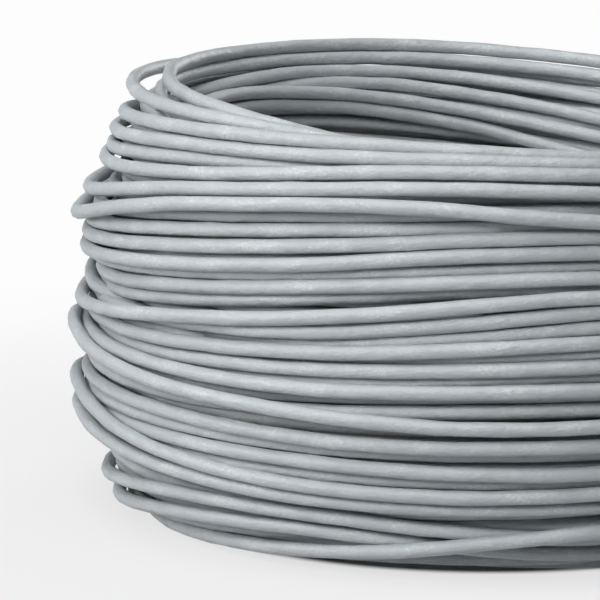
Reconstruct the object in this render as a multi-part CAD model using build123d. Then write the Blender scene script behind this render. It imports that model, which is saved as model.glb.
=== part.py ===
from build123d import *

import os
from math import cos, radians, sin

# A loose round coil of single-core wire lying flat: a solid copper conductor in PVC insulation,
# wound into about 150 turns that nothing ties. The wound turns are one closed solid, and the rows of
# turns that show on its side and top are ridges. The last stretch of wire at each end leaves the
# turns low down and lies on the surface, with its insulation and its conductor as separate pieces,
# both cut square.
# Millimetres, +Z is the coil's axis, and the origin is the middle of the underside.

# The wire
wire_d = 2.1          # outside diameter of the insulation
core_d = 0.8          # solid copper conductor
core_proud = 0.3      # what the conductor stands out of the cut insulation

# The coil's section, as radii from the axis and heights above the surface
coil_height = 65.0
barrel_r = 61.5       # outside, at the belly
belly_height = 24.0   # where the outside is widest
crown_r = 53.5        # outside, where the side turns into the top
crown_rise = 3.0      # how far the rounded top rises between that edge and the hollow
foot_r = 53.5         # outside of the flat ring that the lowest turns stand on
hollow_r = 44.0       # the open middle that the turns were wound round

# The rows of turns that show: a ridge is nearly two turns wide, so that the solid stays light
row_pitch = 3.8
groove_depth = 1.4    # how deep the gap between two rows is

# The two free ends, each a straight run from a point inside the turns to the cut tip, which lies on
# the surface. Each has the angles round the axis where it starts and stops, and the share of it that
# is still between the turns.
tail_depth = 1.5      # how far inside the turns a run starts
tail_height = 4.0     # how high it starts
outer_tip_out = 13.0  # how far the outer tip lies outside the foot
inner_tip_in = 2.5    # how far the inner tip lies inside the hollow
outer_tail_angles = (22, 62)
outer_tail_buried = 0.6
inner_tail_angles = (-25, -55)
inner_tail_buried = 0.4


def at(angle, radius, height):
    """The point at an angle round the coil's axis, a radius from it and a height."""
    return Vector(radius * cos(radians(angle)), radius * sin(radians(angle)), height)


def ridges(wall):
    """Points along a wall of turns: a crest on each row, with a groove between it and the next."""
    rows = round(wall.length / row_pitch)
    points = [wall @ 0]
    for row in range(rows):
        points.append(wall @ ((row + 0.5) / rows))
        end = (row + 1) / rows
        inwards = (wall % end).rotate(Axis.Y, -90)
        points.append((wall @ end) + inwards * groove_depth)
    return points


def wound_turns():
    """The turns as one ring: a barrel outside, a rounded crown, a round hollow and a flat foot."""
    belly = (barrel_r, 0, belly_height)
    crown_edge = coil_height - crown_rise
    below = TangentArc(belly, (foot_r, 0, 0), tangent=(0, 0, -1)).reversed(reconstruct=True)
    above = TangentArc(belly, (crown_r, 0, crown_edge), tangent=(0, 0, 1))
    side = Wire([below, above])
    crown_top = ((crown_r + hollow_r) / 2, 0, coil_height)
    crown = ThreePointArc(side @ 1, crown_top, (hollow_r, 0, crown_edge))
    rows = Polyline(*ridges(side), *ridges(crown)[1:-1], crown @ 1)
    inside = Polyline(crown @ 1, (hollow_r, 0, 0), side @ 0)
    return revolve(make_face(rows + inside), Axis.Z)


def rod(start, end, diameter):
    """A straight round rod from one point to another."""
    run = end - start
    return extrude(Plane(start, z_dir=run) * Circle(diameter / 2), run.length)


def free_end(angles, start_r, tip_r, buried):
    """The stub of wire that comes out of the turns, then the free insulation and its conductor."""
    inside = at(angles[0], start_r, tail_height)
    tip = at(angles[1], tip_r, wire_d / 2)
    run = tip - inside
    clear = inside + run * buried
    core = rod(clear, tip + run.normalized() * core_proud, core_d)
    return rod(inside, clear, wire_d), rod(clear, tip, wire_d) - core, core


def main():
    os.makedirs("parts", exist_ok=True)
    outer_stub, outer_insulation, outer_core = free_end(
        outer_tail_angles, foot_r - tail_depth, foot_r + outer_tip_out, outer_tail_buried)
    inner_stub, inner_insulation, inner_core = free_end(
        inner_tail_angles, hollow_r + tail_depth, hollow_r - inner_tip_in, inner_tail_buried)
    nodes = {
        "wire_coil": wound_turns() + outer_stub + inner_stub,
        "outer_end_insulation": outer_insulation,
        "outer_end_core": outer_core,
        "inner_end_insulation": inner_insulation,
        "inner_end_core": inner_core,
    }
    for name, shape in nodes.items():
        shape.label = name
        export_step(shape, f"parts/{name}.step")
        print(name, "volume", round(shape.volume, 1))


main()
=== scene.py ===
# %% [markdown]
# A loose coil of single-core wire is one length of wire and nothing else, so nearly all of this lesson
# is about the way that a wire lies when nobody ties it. The rigid model is loaded first: its box gives
# the coil its size, and every length in this file is in metres.

# %% The frame
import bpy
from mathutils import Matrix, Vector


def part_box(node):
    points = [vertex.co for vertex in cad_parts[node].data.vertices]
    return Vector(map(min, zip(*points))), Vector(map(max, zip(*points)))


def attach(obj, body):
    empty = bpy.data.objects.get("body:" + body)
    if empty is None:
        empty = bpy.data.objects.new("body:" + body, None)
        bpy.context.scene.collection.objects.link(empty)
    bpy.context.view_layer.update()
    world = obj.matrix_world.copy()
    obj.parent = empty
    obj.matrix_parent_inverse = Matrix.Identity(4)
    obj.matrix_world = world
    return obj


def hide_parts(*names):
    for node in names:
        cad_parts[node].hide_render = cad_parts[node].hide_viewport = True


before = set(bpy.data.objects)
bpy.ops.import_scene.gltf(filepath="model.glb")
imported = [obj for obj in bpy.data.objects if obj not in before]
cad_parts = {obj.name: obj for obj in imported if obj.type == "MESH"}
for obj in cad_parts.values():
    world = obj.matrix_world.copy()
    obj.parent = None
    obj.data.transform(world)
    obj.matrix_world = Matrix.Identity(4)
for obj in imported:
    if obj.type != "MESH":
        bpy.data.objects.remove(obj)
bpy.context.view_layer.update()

import time
from math import cos, radians, sin, tau

import bpy
import numpy as np
from mathutils import Vector

MM = 0.001
coil_low, coil_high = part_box("wire_coil")
COIL_R = (coil_high.x - coil_low.x) / 2
COIL_H = coil_high.z - coil_low.z
print(f"the coil is {2 * COIL_R / MM:.0f} mm across and {COIL_H / MM:.0f} mm high")

# %% [markdown]
# The wire is small hook-up wire: one solid copper core in a thick coat of PVC. Fifty metres of it make
# about a hundred and fifty turns. The section of the coil is a barrel outside, a rounded crown on top,
# and a straight wall inside, where the turns lay on a former that has since been taken out.

# %% Sizes of the wire and of the coil's section
WIRE_D = 2.1 * MM
WIRE_R = WIRE_D / 2
BELLY_H = 24 * MM
CROWN_R = 53.5 * MM
CROWN_RISE = 3 * MM
FOOT_R = 53.5 * MM
HOLLOW_R = 44 * MM
TURNS = 150


def polar(angle, radius, height):
    """The point at an angle in degrees round the coil's axis."""
    return Vector((radius * cos(radians(angle)), radius * sin(radians(angle)), height))


def outside(height):
    """The barrel's outside radius at a height: one arc up to the belly and another above it."""
    radii = []
    for rim, rise in ((FOOT_R, BELLY_H), (CROWN_R, COIL_H - CROWN_RISE - BELLY_H)):
        bulge = COIL_R - rim
        arc = (bulge ** 2 + rise ** 2) / (2 * bulge)
        away = np.clip(np.abs(height - BELLY_H), 0, rise)
        radii.append(COIL_R - arc + np.sqrt(arc ** 2 - away ** 2))
    return np.where(height < BELLY_H, radii[0], radii[1])


def crown(radius):
    """The height of the rounded top at a radius."""
    half = (CROWN_R - HOLLOW_R) / 2
    off_middle = np.minimum(np.abs(radius - HOLLOW_R - half) / half, 1)
    return COIL_H - CROWN_RISE * off_middle ** 2


print(f"belly {outside(BELLY_H) / MM:.1f} mm, foot {outside(0) / MM:.1f} mm, "
      f"crown {crown(CROWN_R) / MM:.1f} mm")

# %% [markdown]
# The camera looks at the left of the coil from a little above, and from ten coil radii away, so that
# the near and the far rim are almost the same size. The lens follows from the width that it has to see.

# %% Camera
VIEW_DISTANCE = 10 * COIL_R
VIEW_RISE = radians(9.8)
VIEW_WIDTH = 90.6 * MM
VIEW_CENTRE = Vector((-27.2, 0, 30.5)) * MM

scene = bpy.context.scene
camera = bpy.data.objects.new("camera", bpy.data.cameras.new("camera"))
scene.collection.objects.link(camera)
scene.camera = camera
camera.location = VIEW_CENTRE + VIEW_DISTANCE * Vector((0, -cos(VIEW_RISE), sin(VIEW_RISE)))
camera.rotation_euler = (VIEW_CENTRE - camera.location).to_track_quat("-Z", "Y").to_euler()
camera.data.lens = camera.data.sensor_width * VIEW_DISTANCE / VIEW_WIDTH
camera.data.clip_end = 20
print(f"a lens of {camera.data.lens:.0f} mm")

# %% [markdown]
# A wire that is wound by hand fills the section layer by layer, up one layer and down the next. Four
# layers follow the straight wall of the hollow and four more follow the barrel outside. The turns on the
# former lie close, and so does the last layer, which is pulled on to the rest and laid further down. The
# layer under it has slack, because turns have slipped out of it. Eight layers in all bring the wire back
# down to the foot, where both of its ends are.

# %% A place in the section for each turn
TIGHT, LOOSE, LOOSER = 1.03 * WIRE_D, 1.22 * WIRE_D, 1.4 * WIRE_D
SKIN = 0.9 * WIRE_D
FORMER_LAYERS = 4
BARREL_LAYERS = 4
FORMER_DROP, CROWN_DROP = 5 * WIRE_D, 1 * WIRE_D
TOUCHING = 0.97 * WIRE_D
FILLED_R = COIL_R - WIRE_R - BARREL_LAYERS * SKIN


def column(radius, top, pitch, stagger=0):
    """Places one above another, a pitch apart; the radius may change with the height."""
    low, high = WIRE_R + stagger, top - WIRE_R - stagger
    heights = np.linspace(low, high, round((high - low) / pitch) + 1)
    return np.stack([radius(heights), heights], 1)


def layers(pitch):
    """All layers from the hollow outwards, with this pitch in those between the tight ones."""
    skins = []
    for under in reversed(range(BARREL_LAYERS)):
        step = (TIGHT, LOOSER, pitch, pitch)[under]
        skins.append(column(lambda height: outside(height) - WIRE_R - under * SKIN,
                            crown(CROWN_R), step, TIGHT / 2 * (under % 2)))
    taken = np.vstack(skins)
    inner = []
    for radius in np.linspace(HOLLOW_R + WIRE_R, FILLED_R, FORMER_LAYERS + 1)[:-1]:
        step = pitch if inner else LOOSE
        top = crown(radius) - (CROWN_DROP if inner else FORMER_DROP)
        places = column(lambda height: radius + 0 * height, top, step)
        gap = np.sqrt(((places[:, None] - taken) ** 2).sum(2)).min(1)
        inner.append(places[gap > TOUCHING])
    return inner + skins


MEASURED = 40
WIDENING = 1.002
pitch = TIGHT
while sum(map(len, layers(pitch)[:-1])) > TURNS - MEASURED:
    pitch *= WIDENING
wound = layers(pitch)[:-1]
print("turns in each layer", [len(layer) for layer in wound], f"{pitch / WIRE_D:.2f} diameters apart inside")

# %% [markdown]
# Nothing ties this coil, so the turns that show have slipped: they climb, dip and cross each other from
# the left side round to the front, and slide down the far wall of the hollow. The routes of forty of them
# were measured on a real coil and then corrected. A row gives a turn's heights in millimetres at
# six azimuths, and how far it stands off the barrel at the first and the last of them, where less than
# nothing means that it lies under its neighbours. Those that don't follow the barrel all that way have
# lists of their own: azimuth in degrees, then radius and height in millimetres.

# %% The measured turns
LAID_AT = (183, 200, 218, 243, 262, 283)
LAID = (
    (57.0, 58.0, 58.9, 59.2, 59.2, 58.3, 0.3, 0.8),
    (54.5, 55.8, 56.8, 57.3, 56.6, 55.8, 0.0, -1.8),
    (52.8, 53.6, 54.8, 56.9, 58.0, 57.2, 0.3, 1.9),
    (48.0, 50.5, 52.9, 54.8, 55.7, 54.8, 1.6, 2.0),
    (44.1, 47.8, 50.9, 52.9, 53.3, 50.7, 2.6, 2.3),
    (46.0, 47.3, 49.1, 51.0, 51.6, 52.4, -0.6, -1.0),
    (43.3, 45.3, 47.0, 49.0, 50.1, 50.0, 0.2, -1.2),
    (41.8, 43.0, 44.8, 47.0, 48.4, 48.8, 0.3, 0.3),
    (39.6, 40.7, 42.3, 44.4, 46.6, 47.1, 0.2, 0.2),
    (38.2, 39.6, 41.0, 42.6, 44.2, 44.8, -1.9, -1.3),
    (36.2, 37.2, 38.7, 41.5, 42.8, 43.4, -2.8, 0.1),
    (34.6, 35.2, 37.1, 39.6, 41.5, 42.0, -3.4, -1.6),
    (31.8, 33.1, 34.9, 37.2, 39.4, 41.2, 0.2, 0.3),
    (32.8, 33.3, 33.8, 34.6, 37.0, 39.0, -3.0, 0.0),
    (30.6, 30.8, 31.3, 32.3, 33.7, 34.8, -1.9, -0.1),
    (27.6, 28.6, 29.0, 30.0, 30.8, 31.4, -3.2, 0.0),
    (28.3, 28.0, 27.4, 27.3, 27.8, 28.3, -1.1, 0.1),
    (29.3, 26.3, 25.3, 24.1, 22.9, 23.0, 0.8, 0.1),
    (23.6, 23.4, 23.4, 23.9, 24.9, 25.2, -2.0, -1.8),
    (21.2, 21.2, 21.0, 20.1, 20.0, 20.3, -1.2, 0.0),
    (19.2, 19.2, 19.2, 18.9, 18.8, 18.9, -1.3, -2.0),
    (17.0, 17.1, 17.2, 17.0, 16.4, 16.2, -1.5, 0.0),
    (14.9, 14.9, 15.0, 15.0, 14.8, 14.7, -1.7, -1.5),
    (20.4, 17.5, 15.0, 13.4, 13.0, 13.3, 0.8, 0.1),
    (16.6, 13.7, 12.7, 11.4, 11.1, 11.1, 1.2, -0.8),
    (5.3, 7.4, 9.0, 9.0, 7.6, 5.6, 0.5, -1.5),
    (2.0, 3.8, 5.8, 6.6, 5.0, 3.3, 0.8, -1.7),
    (1.1, 1.2, 1.7, 3.1, 5.4, 8.3, -3.5, 2.0),
    (1.1, 1.3, 1.8, 2.3, 2.7, 2.7, -5.0, -3.0),
)
OTHERS = (
    # the highest: inside the crown at the left, over it in front, and round the hollow at the back
    ((65, 51.5, 61.2), (87, 51.3, 62.7), (102, 51.0, 63.7), (122, 50.0, 64.4), (152, 48.0, 64.7),
     (183, 46.4, 65.0), (205, 48.3, 64.4), (219, 50.2, 64.0), (231, 50.6, 62.7), (244, 49.4, 60.6),
     (262, 48.2, 57.9), (283, 47.2, 56.0)),
    # the loop that hangs off the shoulder
    ((130, 51.5, 62.6), (158, 52.2, 63.8), (171, 52.2, 64.0), (183, 52.1, 63.6), (205, 52.4, 63.1),
     (223, 52.6, 62.7), (233, 52.2, 62.0), (243, 51.3, 60.9), (262, 50.4, 58.9), (283, 49.5, 57.2)),
    # the edge of the crown in front
    ((183, 53.5, 59.8), (199, 53.6, 60.4), (208, 53.7, 60.8), (228, 54.0, 60.9), (247, 53.5, 60.8),
     (264, 52.7, 60.1), (285, 52.6, 58.7)),
    # a small loop inside that one, which goes on along the far edge of the hollow
    ((64, 51.0, 58.9), (87, 50.3, 60.8), (103, 49.8, 61.8), (123, 49.0, 62.4), (150, 48.2, 62.6),
     (183, 47.9, 62.6), (205, 49.4, 61.4), (219, 50.6, 60.6)),
    # four in the far wall of the hollow
    ((64, 49.0, 55.5), (87, 48.6, 58.1), (103, 48.0, 59.7), (116, 47.5, 60.3), (140, 46.5, 60.4)),
    ((64, 46.8, 52.6), (87, 46.4, 55.7), (104, 46.2, 57.9), (122, 46.0, 58.8)),
    ((62, 45.3, 49.9), (87, 45.2, 53.4), (117, 45.2, 57.4), (144, 45.2, 58.8)),
    ((64, 45.2, 46.2), (87, 45.2, 50.8), (117, 45.2, 55.0), (138, 45.2, 56.5)),
    # three that come out from under the others in front
    ((212, 55.5, 32.6), (226, 57.0, 32.9), (243, 57.8, 33.4), (262, 58.6, 34.9), (283, 59.0, 36.8)),
    ((215, 55.5, 31.5), (230, 57.0, 31.0), (243, 57.6, 31.2), (262, 58.5, 32.2), (283, 58.7, 33.1)),
    ((212, 56.0, 27.6), (226, 57.0, 27.7), (243, 58.2, 28.2), (262, 58.6, 29.3), (283, 58.6, 29.9)),
)
assert len(LAID) + len(OTHERS) == MEASURED
print(len(LAID), "turns along the barrel and", len(OTHERS), "others")

# %% [markdown]
# Each measured turn now gets its place in the order of winding. One that lies at the hollow joins the
# first layer, at its height there, and the others make the last layer, from the foot upwards. The wire
# starts a little way inside the wall of the hollow and ends a little way inside the foot.

# %% Every turn in its layer
TAIL_DEPTH = 1.5 * MM
TAIL_HEIGHT = 4 * MM
ENDS = np.array([[HOLLOW_R + TAIL_DEPTH, TAIL_HEIGHT], [FOOT_R - TAIL_DEPTH, TAIL_HEIGHT]])

laid = [np.array(points) * (1, MM, MM) for points in OTHERS]
for *heights, left, right in LAID:
    heights = np.array(heights) * MM
    off = np.interp(LAID_AT, (LAID_AT[0], LAID_AT[-1]), (left, right)) * MM
    laid.append(np.stack([LAID_AT, outside(heights) - WIRE_R + off, heights], 1))
home = np.array([points[:, 1:].mean(0) for points in laid])
at_hollow = home[:, 0] < HOLLOW_R + WIRE_D + WIRE_R
home[at_hollow, 1] = [points[:, 2].max() for points, inside in zip(laid, at_hollow) if inside]
by_height = [(*home[k], k) for k in np.argsort(home[:, 1])]
outermost = [turn for turn in by_height if not at_hollow[turn[2]]]
innermost = [*wound[0], *(turn for turn in by_height if at_hollow[turn[2]])]

turns = []
for number, layer in enumerate([innermost, *wound[1:], outermost]):
    layer = [(*turn, -1)[:3] for turn in layer]
    turns += layer if number % 2 == 0 else layer[::-1]
turns.append((*ENDS[1], -1))
passes = {turn[2]: index for index, turn in enumerate(turns) if turn[2] >= 0}
turn_places = np.array([turn[:2] for turn in turns])
print(len(turn_places), "places for", TURNS, "turns")

# %% [markdown]
# The wire takes a whole turn to go from one place to the next. On that line go three kinds of
# unevenness: broad leans that whole groups of turns share, the measured turns, and a smooth random
# wander, because no two turns are pulled equally hard. The crown leans back from the front and down at
# the far right of the hollow, the barrel is drawn in at the left, at its belly and above it, and the foot
# is drawn in and a little off the table in front. All of it is only a wish so far: turns that want the
# same place are parted in the next cell.

# %% Steps along the wire
SLICES = 96
START = -25
PAST_START = 12     # an eighth of a turn: the wire comes out that far past where it went in
STEPS = TURNS * SLICES + PAST_START
step = np.arange(STEPS + 1)
azimuth = START + 360 / SLICES * step
rng = np.random.default_rng(7)


def wander(turns_long):
    """Smooth random numbers along the wire, about one in size, that change over part of a turn."""
    sigma = turns_long * SLICES
    reach = np.arange(-int(3 * sigma), int(3 * sigma) + 1)
    bell = np.exp(-0.5 * (reach / sigma) ** 2)
    return np.convolve(rng.normal(size=STEPS + 1), bell / np.sqrt((bell ** 2).sum()), mode="same")


def near(angle, width):
    """One at this azimuth, falling smoothly to nothing over about twice the width."""
    away = (azimuth - angle + 180) % 360 - 180
    return np.exp(-0.5 * (away / width) ** 2)


def about(height, reach, z):
    """One at this height in millimetres, falling smoothly to nothing over about twice the reach."""
    return np.exp(-((z - height * MM) / (reach * MM)) ** 2)


print(f"{STEPS + 1} points along the wire, {360 / SLICES:.2f} degrees apart")

# %% The leans and the wander
wish = np.stack([np.interp(step / SLICES, np.arange(len(turn_places)), turn_places[:, k]) for k in (0, 1)], 1)
r, z = wish.T.copy()
depth = np.clip((r - HOLLOW_R) / (outside(z) - HOLLOW_R), 0, 1)
shoulder = np.clip((z / MM - 50) / 14, 0, 1) ** 1.5
lean = shoulder * (3.0 * np.cos(np.radians(azimuth - 150)) - 1.95 - 4.3 * near(285, 40))
lean -= shoulder * (4.5 * near(172, 28) + 1.2 * (1 - depth) * near(265, 45))
lean += 3.0 * about(47, 9, z) * depth ** 2 * (near(290, 38) - near(188, 34))
lean += 2.0 * about(0, 8, z) * near(258, 50)
lean -= 14.0 * about(60, 22, z) * (1 - depth) * near(45, 40)
wish[:, 1] += lean * MM + WIRE_D * (0.25 + 0.3 * depth) * wander(0.25)
wish[:, 0] += WIRE_D * (0.15 + 0.2 * depth) * wander(0.18)
wish[:, 0] -= 3.0 * about(0, 7, z) * depth * near(225, 55) * MM
wish[:, 0] -= (2.4 * about(35, 4.5, z) + 3.2 * about(22.5, 2, z)) * depth * near(183, 28) * MM
wish[:, 0] += (1.2 * (1 - depth) * near(180, 35) - 1.2 * depth * near(230, 45)) * MM
print(f"the leans move points by up to {np.abs(lean).max():.1f} mm")

# %% [markdown]
# A measured turn holds to its route more firmly than the rest hold to theirs, and gives way less when it
# is pushed. At both ends of the stretch that was measured it blends into the route that the layers give.

# %% The measured turns on that line
BLEND = 40
FOLLOW, FOLLOW_MEASURED = 0.03, 0.12
FIRMNESS = 0.85

hold = np.full(STEPS + 1, FOLLOW)
gives_way = np.ones(STEPS + 1)
for number, points in enumerate(laid):
    at, radii, heights = points.T
    first = passes[number] * SLICES + round((at[0] - BLEND - START) % 360 / 360 * SLICES)
    last = min(first + round((at[-1] - at[0] + 2 * BLEND) / 360 * SLICES), STEPS)
    span = slice(first, last)
    around = azimuth[span] - azimuth[first] + at[0] - BLEND
    share = np.clip(np.minimum(around - at[0], at[-1] - around) / BLEND + 1, 0, 1)
    share = share * share * (3 - 2 * share)
    for k, values in ((0, radii), (1, heights)):
        wish[span, k] += share * (np.interp(around, at, values) - wish[span, k])
    hold[span] += FOLLOW_MEASURED * share
    gives_way[span] -= FIRMNESS * share
wish[:, 1] = np.maximum(wish[:, 1], WIRE_R)
print(f"{(hold > FOLLOW).mean():.0%} of the points follow a measured turn")

# %% [markdown]
# Now the turns are made to lie on each other. Every 3.75 degrees the wire's passes through one slice of
# the coil are a heap of discs, and two discs that overlap push each other apart, those of a measured
# turn least. Between the pushes the wire's stiffness smooths each bend, the tension draws the outer turns
# in, and the wire's weight lets everything down a little. This is how a cloth or rope solver works, with
# the slices as its grid.

# %% Pushing overlapping turns apart
PUSH = 0.9


def pairs_near(place, within):
    """Pairs of points on different turns that pass through one slice closer than this."""
    padded = np.arange(2 * (TURNS + 1) * SLICES, dtype=float).reshape(-1, 2)
    padded[:STEPS + 1] = place
    grid = padded.reshape(TURNS + 1, SLICES, 2).transpose(1, 0, 2)
    close = ((grid[:, :, None] - grid[:, None]) ** 2).sum(3) < within ** 2
    slices, one, other = np.nonzero(np.triu(close, 1))
    return one * SLICES + slices, other * SLICES + slices


def push_apart(place, one, other):
    """Parts each two that overlap; a measured turn moves less than another."""
    gap = place[one] - place[other]
    distance = np.maximum(np.sqrt((gap ** 2).sum(1)), 1e-7)
    push = np.maximum(WIRE_D - distance, 0) * PUSH / distance / (gives_way[one] + gives_way[other])
    hits = np.bincount(one, push > 0, STEPS + 1) + np.bincount(other, push > 0, STEPS + 1)
    for k in (0, 1):
        move = np.bincount(one, push * gap[:, k], STEPS + 1) - np.bincount(other, push * gap[:, k], STEPS + 1)
        place[:, k] += move * gives_way / np.sqrt(np.maximum(hits, 1))


# %% Laying the turns on each other
SWEEPS, LAST_SWEEPS = 500, 30
PAIRS_EVERY, PAIRS_WITHIN = 10, 1.8 * WIRE_D
HELD = 0.031                                    # what holds more than this goes on holding to the end
TENSION = 0.001 * MM
WEIGHT = 0.002 * MM
STIFFNESS = ((4, 0.6), (2, 0.8), (1, 0.9))      # over how many steps, and what share of a bend goes
SETTLED = 0.3                                   # the share of that stiffness left in the last sweeps
INTO_HOLLOW = 1 * MM

started = time.time()
place = wish.copy()
for sweep in range(SWEEPS):
    if sweep % PAIRS_EVERY == 0:
        one, other = pairs_near(place, PAIRS_WITHIN)
    calm = np.maximum(1 - sweep / SWEEPS, hold > HELD)[:, None]
    place += hold[:, None] * calm * (wish - place)
    place[:, 0] -= TENSION * depth
    place[:, 1] -= WEIGHT
    push_apart(place, one, other)
    for reach, share in STIFFNESS:
        bend = sum(weight * place[k * reach:len(place) - (4 - k) * reach]
                   for k, weight in enumerate((1, -4, 6, -4, 1)))
        share *= 1 if sweep < SWEEPS - LAST_SWEEPS else SETTLED
        place[2 * reach:-2 * reach] -= bend / 16 * share
    place[:, 1] = np.maximum(place[:, 1], WIRE_R)
    place[:, 0] = np.maximum(place[:, 0], HOLLOW_R + WIRE_R - INTO_HOLLOW)
    place[[0, -1]] = ENDS
one, other = pairs_near(place, WIRE_D)
overlap = 1 - np.sqrt(((place[one] - place[other]) ** 2).sum(1)) / WIRE_D
print(f"laid in {time.time() - started:.0f} s; deepest overlap {100 * overlap.max():.0f} % of a diameter, "
      f"{(overlap > 0.1).sum()} over 10 %; top {(place[:, 1].max() + WIRE_R) / MM:.1f} mm, "
      f"outermost {(place[:, 0].max() + WIRE_R) / MM:.1f} mm, "
      f"innermost {(place[:, 0].min() - WIRE_R) / MM:.1f} mm")

# %% [markdown]
# The whole wire is one NURBS spline: a short straight tail inside the hollow, fourteen thousand points
# of coil, and a straight tail outside. Order three keeps it near its control points, and the spline
# then gives the smooth line that the tube follows.

# %% The route as one spline
INNER_ANGLES, INNER_TIP_IN = (START, -55), 2.5 * MM
OUTER_ANGLES, OUTER_TIP_OUT = (22, 62), 13 * MM
INNER_BURIED, OUTER_BURIED = 0.4, 0.6           # the share of each tail that is still between the turns
INNER_TAIL = [polar(INNER_ANGLES[0], *ENDS[0]), polar(INNER_ANGLES[1], HOLLOW_R - INNER_TIP_IN, WIRE_R)]
OUTER_TAIL = [polar(OUTER_ANGLES[0], *ENDS[1]), polar(OUTER_ANGLES[1], FOOT_R + OUTER_TIP_OUT, WIRE_R)]
POINTS_A_STEP = 4

coil = [polar(a, *section) for a, section in zip(azimuth, place)]
route = [INNER_TAIL[1], INNER_TAIL[0].lerp(INNER_TAIL[1], INNER_BURIED), *coil,
         OUTER_TAIL[0], OUTER_TAIL[0].lerp(OUTER_TAIL[1], OUTER_BURIED), OUTER_TAIL[1]]

curve = bpy.data.curves.new("route", "CURVE")
curve.dimensions = "3D"
curve.resolution_u = POINTS_A_STEP
spline = curve.splines.new("NURBS")
spline.points.add(len(route) - 1)
spline.points.foreach_set("co", [x for point in route for x in (*point, 1)])
spline.order_u = 3
spline.use_endpoint_u = True
route_object = bpy.data.objects.new("route", curve)
line_mesh = bpy.data.meshes.new_from_object(route_object)
line = np.empty(3 * len(line_mesh.vertices))
line_mesh.vertices.foreach_get("co", line)
line = line.reshape(-1, 3)
bpy.data.objects.remove(route_object)

# %% [markdown]
# Two fifths of the wire can't be seen from anywhere. From each point of the wire, sixteen rays go out
# across its slice, and any other turn stops them. Where some rays get out, the tube has a ring every 3 mm,
# and where none does, one every 15 degrees is enough. Rings are closer in sharp bends, and at the left,
# where the camera sees the turns bend round.

# %% How much of each point shows
RAYS = 16
CLEAR = 0.3 * WIRE_D


def open_share(place):
    """The share of rays that leave each point of the wire, in its own slice, without meeting a turn."""
    directions = np.array([(cos(tau * k / RAYS), sin(tau * k / RAYS)) for k in range(RAYS)])
    shares = np.empty(STEPS + 1)
    for first in range(SLICES):
        discs = place[first::SLICES]
        gap = discs[None] - discs[:, None]
        along = gap @ directions.T
        across = np.abs(gap[..., 0, None] * directions[:, 1] - gap[..., 1, None] * directions[:, 0])
        stopped = ((along > CLEAR) & (across < WIRE_R)).any(1)
        shares[first::SLICES] = 1 - stopped.mean(1)
    return shares


shares = open_share(place)
shares = np.max([np.roll(shares, k) for k in (-1, 0, 1)], axis=0)

# %% The rings that the tube needs
SHOWS_WELL, SHOWS = 0.15, 0.01
STRIDES = ((SHOWS_WELL, 3), (SHOWS, 5), (-1.0, 16))     # a share that shows, and the points per ring above it
LEFT, BENDS = 180, 20
CLOSE_STRIDE = 2
SHARP_BEND = 1.4        # degrees between one point and the next
BEND_SPREAD = 5
WIDEN_BY = 2            # how much longer a stride may be than the one that it leads to

stride_at = np.select([shares > level for level, _ in STRIDES], [stride for _, stride in STRIDES])
stride_at[(near(LEFT, BENDS) > 0.5) & (stride_at == STRIDES[0][1])] = CLOSE_STRIDE
per_point = np.repeat(stride_at, POINTS_A_STEP)
margin = len(line) - len(per_point)
per_point = np.pad(per_point, (margin // 2, margin - margin // 2), constant_values=STRIDES[0][1])
heading = np.diff(line, axis=0)
heading /= np.linalg.norm(heading, axis=1)[:, None]
bend = np.degrees(np.arccos(np.clip((heading[1:] * heading[:-1]).sum(1), -1, 1)))
sharp = np.convolve(bend > SHARP_BEND, np.ones(BEND_SPREAD), mode="same") > 0
per_point[1:-1][sharp & (per_point[1:-1] <= STRIDES[0][1])] = 1
picked = [0]
while picked[-1] < len(line) - 1:
    here = picked[-1]
    reach = per_point[here:here + per_point[here] + 1]
    picked.append(min(here + int(min(per_point[here], WIDEN_BY + reach[-1])), len(line) - 1))
path = line[picked]
print(f"{(shares > SHOWS_WELL).mean():.0%} of the wire shows well, {(shares > SHOWS).mean():.0%} at all; "
      f"{len(path)} rings")

# %% [markdown]
# The tube is a sweep, so Geometry Nodes make it: the picked points become a curve, a circle runs along
# it, and every point of the skin is then moved a little in or out by noise, since the coat of a thin
# wire is never quite even. The noise is read in the wire's own place: its length, and the two
# directions across it. That place is kept as an attribute for the material.


# %% A helper that adds a node
def add(tree, kind, inputs=None, **settings):
    """Adds a node to a tree; inputs are values, or sockets to link from, by name or number."""
    node = tree.nodes.new(kind)
    for name, value in settings.items():
        setattr(node, name, value)
    for name, value in (inputs or {}).items():
        if isinstance(value, bpy.types.NodeSocket):
            tree.links.new(value, node.inputs[name])
        else:
            node.inputs[name].default_value = value
    return node


# %% The tube's named inputs
SIDES = 8
LUMP_LENGTH = 5 * MM
LUMP_HEIGHT = 0.1 * MM
LUMP_SEED = 4

tube_tree = bpy.data.node_groups.new("wire_tube", "GeometryNodeTree")
face = tube_tree.interface
face.new_socket("Geometry", in_out="INPUT", socket_type="NodeSocketGeometry")
for name, kind, value in (("Wire radius", "NodeSocketFloat", WIRE_R), ("Sides", "NodeSocketInt", SIDES),
                          ("Lump length", "NodeSocketFloat", LUMP_LENGTH),
                          ("Lump height", "NodeSocketFloat", LUMP_HEIGHT),
                          ("Seed", "NodeSocketInt", LUMP_SEED), ("Material", "NodeSocketMaterial", None)):
    socket = face.new_socket(name, in_out="INPUT", socket_type=kind)
    if value is not None:
        socket.default_value = value
face.new_socket("Geometry", in_out="OUTPUT", socket_type="NodeSocketGeometry")

print("inputs:", [item.name for item in face.items_tree if item.in_out == "INPUT"])

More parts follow.
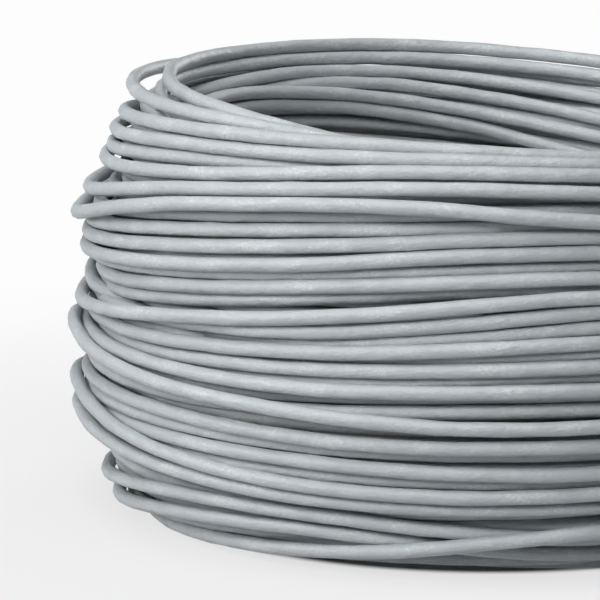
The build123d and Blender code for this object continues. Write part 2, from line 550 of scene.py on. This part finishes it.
# %% The sweep, with its own place on every point
given = add(tube_tree, "NodeGroupInput").outputs
as_curve = add(tube_tree, "GeometryNodeMeshToCurve", {"Mesh": given["Geometry"]})
upright = add(tube_tree, "GeometryNodeSetCurveNormal", {"Curve": as_curve.outputs[0]}, mode="Z_UP")
along = add(tube_tree, "GeometryNodeSplineParameter").outputs["Length"]
with_length = add(tube_tree, "GeometryNodeStoreNamedAttribute",
                  {"Geometry": upright.outputs[0], "Name": "along", "Value": along}, data_type="FLOAT")
circle = add(tube_tree, "GeometryNodeCurvePrimitiveCircle",
             {"Resolution": given["Sides"], "Radius": given["Wire radius"]}, mode="RADIUS")
across = add(tube_tree, "GeometryNodeInputPosition").outputs[0]
with_across = add(tube_tree, "GeometryNodeStoreNamedAttribute",
                  {"Geometry": circle.outputs[0], "Name": "across", "Value": across},
                  data_type="FLOAT_VECTOR")
swept = add(tube_tree, "GeometryNodeCurveToMesh",
            {"Curve": with_length.outputs[0], "Profile Curve": with_across.outputs[0], "Fill Caps": True})
kept_along = add(tube_tree, "GeometryNodeInputNamedAttribute", {"Name": "along"}, data_type="FLOAT")
kept_across = add(tube_tree, "GeometryNodeInputNamedAttribute", {"Name": "across"},
                  data_type="FLOAT_VECTOR")
split = add(tube_tree, "ShaderNodeSeparateXYZ", {0: kept_across.outputs[0]})
own_place = add(tube_tree, "ShaderNodeCombineXYZ",
                {0: kept_along.outputs[0], 1: split.outputs[0], 2: split.outputs[1]})
placed = add(tube_tree, "GeometryNodeStoreNamedAttribute",
             {"Geometry": swept.outputs[0], "Name": "wire_place", "Value": own_place.outputs[0]},
             data_type="FLOAT_VECTOR")
print(len(tube_tree.nodes), "nodes up to the sweep")

# %% The lumps, and the end of the tree
LUMP_SHAPE = (1.0, 2.5, 2.5)    # a lump is longer along the wire than across it
NOISE_SWING = 4.0               # the noise strays by about a quarter, and this makes it a whole

stretch = add(tube_tree, "ShaderNodeVectorMath",
              {0: own_place.outputs[0], 1: LUMP_SHAPE}, operation="MULTIPLY")
per_lump = add(tube_tree, "ShaderNodeMath", {0: 1.0, 1: given["Lump length"]}, operation="DIVIDE")
lumps = add(tube_tree, "ShaderNodeTexNoise",
            {"Vector": stretch.outputs[0], "W": given["Seed"], "Scale": per_lump.outputs[0],
             "Detail": 2.0}, noise_dimensions="4D")
centred = add(tube_tree, "ShaderNodeMath", {0: lumps.outputs[0], 1: 0.5}, operation="SUBTRACT")
height = add(tube_tree, "ShaderNodeMath", {0: centred.outputs[0], 1: given["Lump height"]},
             operation="MULTIPLY")
swing = add(tube_tree, "ShaderNodeMath", {0: height.outputs[0], 1: NOISE_SWING}, operation="MULTIPLY")
outwards = add(tube_tree, "GeometryNodeInputNormal")
offset = add(tube_tree, "ShaderNodeVectorMath",
             {0: outwards.outputs[0], "Scale": swing.outputs[0]}, operation="SCALE")
lumpy = add(tube_tree, "GeometryNodeSetPosition",
            {"Geometry": placed.outputs[0], "Offset": offset.outputs[0]})
smooth = add(tube_tree, "GeometryNodeSetShadeSmooth", {"Geometry": lumpy.outputs[0], "Shade Smooth": True})
real = add(tube_tree, "GeometryNodeRealizeInstances", {"Geometry": smooth.outputs[0]})
coated = add(tube_tree, "GeometryNodeSetMaterial",
             {"Geometry": real.outputs[0], "Material": given["Material"]})
add(tube_tree, "NodeGroupOutput", {"Geometry": coated.outputs[0]})
print(len(tube_tree.nodes), "nodes in the tube's tree")

# %% [markdown]
# The coat is soft PVC, extruded over the copper in a pale blue-grey. Extruded PVC is half matt: it has a
# broad, soft highlight, and this one is mottled by chalky scuffs from lying against its neighbours. The
# patterns follow the wire, stretched along it, because that is the way it was drawn through the die.


# %% Colours
def linear(code, alpha=1.0):
    """An sRGB hex colour as the linear RGBA that shaders want."""
    parts = [int(code[i:i + 2], 16) / 255 for i in (1, 3, 5)]
    return (*(c / 12.92 if c <= 0.04045 else ((c + 0.055) / 1.055) ** 2.4 for c in parts), alpha)


# %% Extruded PVC: its patterns
MOTTLE = 4.0 * MM
CRUMB = 0.32 * MM
BURR = 2.4 * MM
GRAIN = 0.25 * MM
DRAWN_OUT = (0.6, 1.0, 1.0)

pvc = bpy.data.materials.new("extruded_pvc")
pvc.use_nodes = True
tree = pvc.node_tree
shader = tree.nodes["Principled BSDF"]
own = add(tree, "ShaderNodeAttribute", attribute_name="wire_place").outputs["Vector"]
drawn_out = add(tree, "ShaderNodeMapping", {"Vector": own, "Scale": DRAWN_OUT}).outputs[0]
mottle, crumb, burr, grain = (
    add(tree, "ShaderNodeTexNoise",
        {"Vector": drawn_out, "Scale": 1 / size, "Detail": detail, "Roughness": 0.6}).outputs[0]
    for size, detail in ((MOTTLE, 3.0), (CRUMB, 3.0), (BURR, 2.0), (GRAIN, 2.0)))
print(f"{pvc.name}: mottling of {MOTTLE / MM:.1f} mm, burrs of {BURR / MM:.1f} mm, "
      f"crumbs of {CRUMB / MM:.2f} mm")

# %% Extruded PVC: its colour
PVC_DEEP, PVC_PALE, CHALK = "#A5ABAE", "#ADB3B6", "#C9D0CD"
MOST_CHALK = 0.5

tone = add(tree, "ShaderNodeMapRange", {"Value": mottle, "From Min": 0.3, "From Max": 0.7}).outputs[0]
body_colour = add(tree, "ShaderNodeMix", {0: tone, 6: linear(PVC_DEEP), 7: linear(PVC_PALE)},
                  data_type="RGBA").outputs[2]
patch = add(tree, "ShaderNodeMapRange", {"Value": mottle, "From Min": 0.44, "From Max": 0.64,
                                         "To Min": -0.08, "To Max": 0.13}).outputs[0]
rough_up = add(tree, "ShaderNodeMath", {0: crumb, 1: patch}, operation="ADD").outputs[0]
chalky = add(tree, "ShaderNodeMapRange",
             {"Value": rough_up, "From Min": 0.56, "From Max": 0.75, "To Max": MOST_CHALK}).outputs[0]
colour = add(tree, "ShaderNodeMix", {0: chalky, 6: body_colour, 7: linear(CHALK)},
             data_type="RGBA").outputs[2]
print("between", PVC_DEEP, "and", PVC_PALE, "with up to", MOST_CHALK, "of chalk")

# %% Extruded PVC: its polish and relief
GLOSSIEST, DULLEST = 0.38, 0.6
BURR_DEPTH, GRAIN_DEPTH = 0.2 * MM, 0.07 * MM
PVC_IOR = 1.53

dull = add(tree, "ShaderNodeMapRange", {"Value": crumb, "From Min": 0.3, "From Max": 0.7,
                                        "To Min": GLOSSIEST, "To Max": DULLEST}).outputs[0]
pit = add(tree, "ShaderNodeMapRange", {"Value": burr, "From Min": 0.35, "From Max": 0.75}).outputs[0]
low_bump = add(tree, "ShaderNodeBump", {"Height": pit, "Strength": 0.8, "Distance": BURR_DEPTH})
fine = add(tree, "ShaderNodeMath", {0: crumb, 1: grain}, operation="ADD").outputs[0]
bump = add(tree, "ShaderNodeBump", {"Height": fine, "Strength": 1.0, "Distance": GRAIN_DEPTH,
                                    "Normal": low_bump.outputs[0]})
for name, socket in (("Base Color", colour), ("Roughness", dull), ("Normal", bump.outputs[0])):
    tree.links.new(socket, shader.inputs[name])
shader.inputs["IOR"].default_value = PVC_IOR
print(f"roughness {GLOSSIEST} to {DULLEST}, IOR {PVC_IOR}")

# %% [markdown]
# The two cut ends show the core: copper drawn through a die, so it is bright, with faint fine marks. The
# cores are small rods of the rigid model, and only their material is new.

# %% Drawn copper
DRAWING_LINE = 0.06 * MM
LINE_DEPTH = 0.01 * MM
TARNISH = 0.5 * MM
COPPER_DEEP, COPPER_PALE = "#C27A52", "#D9936B"

copper = bpy.data.materials.new("drawn_copper")
copper.use_nodes = True
tree = copper.node_tree
shader = tree.nodes["Principled BSDF"]
place_on_rod = add(tree, "ShaderNodeTexCoord").outputs["Object"]
lines = add(tree, "ShaderNodeTexNoise",
            {"Vector": place_on_rod, "Scale": 1 / DRAWING_LINE, "Detail": 3.0}).outputs[0]
tarnish = add(tree, "ShaderNodeTexNoise", {"Vector": place_on_rod, "Scale": 1 / TARNISH}).outputs[0]
metal = add(tree, "ShaderNodeMix", {0: tarnish, 6: linear(COPPER_DEEP), 7: linear(COPPER_PALE)},
            data_type="RGBA").outputs[2]
lined = add(tree, "ShaderNodeBump", {"Height": lines, "Strength": 0.3, "Distance": LINE_DEPTH})
tree.links.new(metal, shader.inputs["Base Color"])
tree.links.new(lined.outputs[0], shader.inputs["Normal"])
shader.inputs["Metallic"].default_value = 1.0
shader.inputs["Roughness"].default_value = 0.3
for name in ("outer_end_core", "inner_end_core"):
    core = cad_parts[name]
    core.data.materials.clear()
    core.data.materials.append(copper)
    print(name, "is", copper.name)

# %% [markdown]
# Here the tree meets the picked points. A host mesh of bare edges carries the modifier, its inputs are set
# by their identifiers, and the evaluated result becomes a plain mesh with nothing live left on it. The
# wire then takes the place of the rigid coil and of the two pieces of insulation.

# %% The insulated wire
host_mesh = bpy.data.meshes.new("host")
host_mesh.from_pydata(path.tolist(), [(k, k + 1) for k in range(len(path) - 1)], [])
host = bpy.data.objects.new("host", host_mesh)
scene.collection.objects.link(host)
modifier = host.modifiers.new("tube", "NODES")
modifier.node_group = tube_tree
inputs = {item.name: item.identifier for item in tube_tree.interface.items_tree if item.in_out == "INPUT"}
modifier[inputs["Material"]] = pvc
for name, value in (("Wire radius", WIRE_R), ("Sides", SIDES), ("Lump length", LUMP_LENGTH),
                    ("Lump height", LUMP_HEIGHT)):
    modifier[inputs[name]] = value
depsgraph = bpy.context.evaluated_depsgraph_get()
wire_mesh = bpy.data.meshes.new_from_object(host.evaluated_get(depsgraph), preserve_all_data_layers=True,
                                            depsgraph=depsgraph)
bpy.data.objects.remove(host)
wire_mesh.name = "insulated_wire"
wire = bpy.data.objects.new("insulated_wire", wire_mesh)
scene.collection.objects.link(wire)
triangles = sum(len(face.vertices) - 2 for face in wire_mesh.polygons)
print(f"{triangles} triangles; attributes", [a.name for a in wire_mesh.attributes])

# %% The wire's place in the model
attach(wire, "root")
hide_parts("wire_coil", "outer_end_insulation", "inner_end_insulation")

# %% [markdown]
# The coil lies on a pale grey table under soft light. Beside the coil the table is three quarters white of
# its own, and it fades into pure white further out, as on a lit table. Under the coil's foot, in a ring, the
# white is left out, so that the table is darker there: its real shadow, deepened into a band of painted
# shade. Only rays that end in the eye, a reflection or something clear see that white: the light on the
# coil stays as plain as it is, and the table keeps the coil's shadow.

# %% Table
TABLE_SIZE = 3.0

table_mesh = bpy.data.meshes.new("table")
corners = [(x * TABLE_SIZE, y * TABLE_SIZE, 0) for x, y in ((-1, -1), (1, -1), (1, 1), (-1, 1))]
table_mesh.from_pydata(corners, [], [(0, 1, 2, 3)])
table = bpy.data.objects.new("table", table_mesh)
scene.collection.objects.link(table)
print(f"a table {2 * TABLE_SIZE:.0f} m square")

# %% The table's finish
TABLE_GREY, PURE_WHITE = "#B4B4B6", "#FDFDFD"
FADE_FROM, FADE_TO = 65 * MM, 220 * MM
NEAR_WHITE = 0.73
# painted shade: the ring under the coil's foot where the table shows no white, and how it fades out
SHADE_RING_RADIUS = 45.5 * MM
SHADE_RING_FROM, SHADE_RING_TO = 1.5 * MM, 4.5 * MM

paper = bpy.data.materials.new("pale_table")
paper.use_nodes = True
table.data.materials.append(paper)
tree = paper.node_tree
shader = tree.nodes["Principled BSDF"]
shader.inputs["Base Color"].default_value = linear(TABLE_GREY)
shader.inputs["Roughness"].default_value = 0.9
shader.inputs["Specular IOR Level"].default_value = 0.2
spot = add(tree, "ShaderNodeTexCoord").outputs["Object"]
away = add(tree, "ShaderNodeVectorMath", {0: spot}, operation="LENGTH").outputs["Value"]
faded = add(tree, "ShaderNodeMapRange", {"Value": away, "From Min": FADE_FROM, "From Max": FADE_TO,
                                         "To Min": NEAR_WHITE},
            interpolation_type="SMOOTHSTEP").outputs[0]
# Painted shade: the white share falls to nothing in a ring under the coil's foot, so the table is darker
# there.
off_shade_ring = add(tree, "ShaderNodeMath", {0: away, 1: SHADE_RING_RADIUS}, operation="SUBTRACT").outputs[0]
off_shade_ring = add(tree, "ShaderNodeMath", {0: off_shade_ring}, operation="ABSOLUTE").outputs[0]
out_of_painted_shade = add(tree, "ShaderNodeMapRange", {"Value": off_shade_ring, "From Min": SHADE_RING_FROM, "From Max": SHADE_RING_TO},
             interpolation_type="SMOOTHSTEP").outputs[0]
faded = add(tree, "ShaderNodeMath", {0: faded, 1: out_of_painted_shade}, operation="MULTIPLY").outputs[0]
light_path = add(tree, "ShaderNodeLightPath").outputs
eye = add(tree, "ShaderNodeMath", {0: light_path["Is Camera Ray"], 1: light_path["Is Glossy Ray"]},
          operation="MAXIMUM").outputs[0]
eye = add(tree, "ShaderNodeMath", {0: eye, 1: light_path["Is Transmission Ray"]},
          operation="MAXIMUM").outputs[0]
share = add(tree, "ShaderNodeMath", {0: faded, 1: eye}, operation="MULTIPLY").outputs[0]
white = add(tree, "ShaderNodeEmission", {"Color": linear(PURE_WHITE), "Strength": 1.0}).outputs[0]
mixed = add(tree, "ShaderNodeMixShader", {0: share, 1: shader.outputs[0], 2: white}).outputs[0]
tree.links.new(mixed, tree.nodes["Material Output"].inputs["Surface"])
print(f"the table is pure white beyond {FADE_TO / MM:.0f} mm")

# %% [markdown]
# The world gives only a faint even light, so that no shadow is black, and a camera ray that misses the
# table sees the same white that the table fades into.

# %% World
SOFT_LIGHT = 0.08

world = bpy.data.worlds.new("studio")
scene.world = world
world.use_nodes = True
tree = world.node_tree
soft = tree.nodes["Background"]
soft.inputs["Color"].default_value = linear("#FFFFFF")
soft.inputs["Strength"].default_value = SOFT_LIGHT
light_path = add(tree, "ShaderNodeLightPath").outputs
seen = add(tree, "ShaderNodeBackground", {"Color": linear(PURE_WHITE), "Strength": 1.0}).outputs[0]
mixed = add(tree, "ShaderNodeMixShader", {0: light_path["Is Camera Ray"], 1: soft.outputs[0], 2: seen})
tree.links.new(mixed.outputs[0], tree.nodes["World Output"].inputs["Surface"])
print("the world's light is", SOFT_LIGHT)

# %% [markdown]
# A wide lamp low at the left lights the turns where they bend round. A smaller one in front, above the
# camera, reaches the far wall of the hollow over the near rim. It and a third lamp overhead give each turn
# its soft highlight and leave its lower side and the gap under it dark. A low one at the back is for the
# side that the camera doesn't see. Together they light a pale surface to just under white.

# %% Lamps
for name, place_at, size, power in (("left", (-0.90, -0.28, 0.42), 0.6, 7.2),
                                    ("front", (-0.10, -0.80, 0.62), 0.4, 4.6),
                                    ("overhead", (-0.1, -0.15, 1.0), 0.6, 5.0),
                                    ("back", (0.55, 0.75, 0.28), 0.5, 4.5)):
    lamp = bpy.data.objects.new(name, bpy.data.lights.new(name, "AREA"))
    scene.collection.objects.link(lamp)
    lamp.data.shape, lamp.data.size, lamp.data.energy = "DISK", size, power
    lamp.location = place_at
    lamp.rotation_euler = (Vector((0, 0, COIL_H / 2)) - lamp.location).to_track_quat("-Z", "Y").to_euler()
    print(f"{name}: {power} W, {size} m across")

# %% Finish
scene.view_settings.view_transform = "Standard"
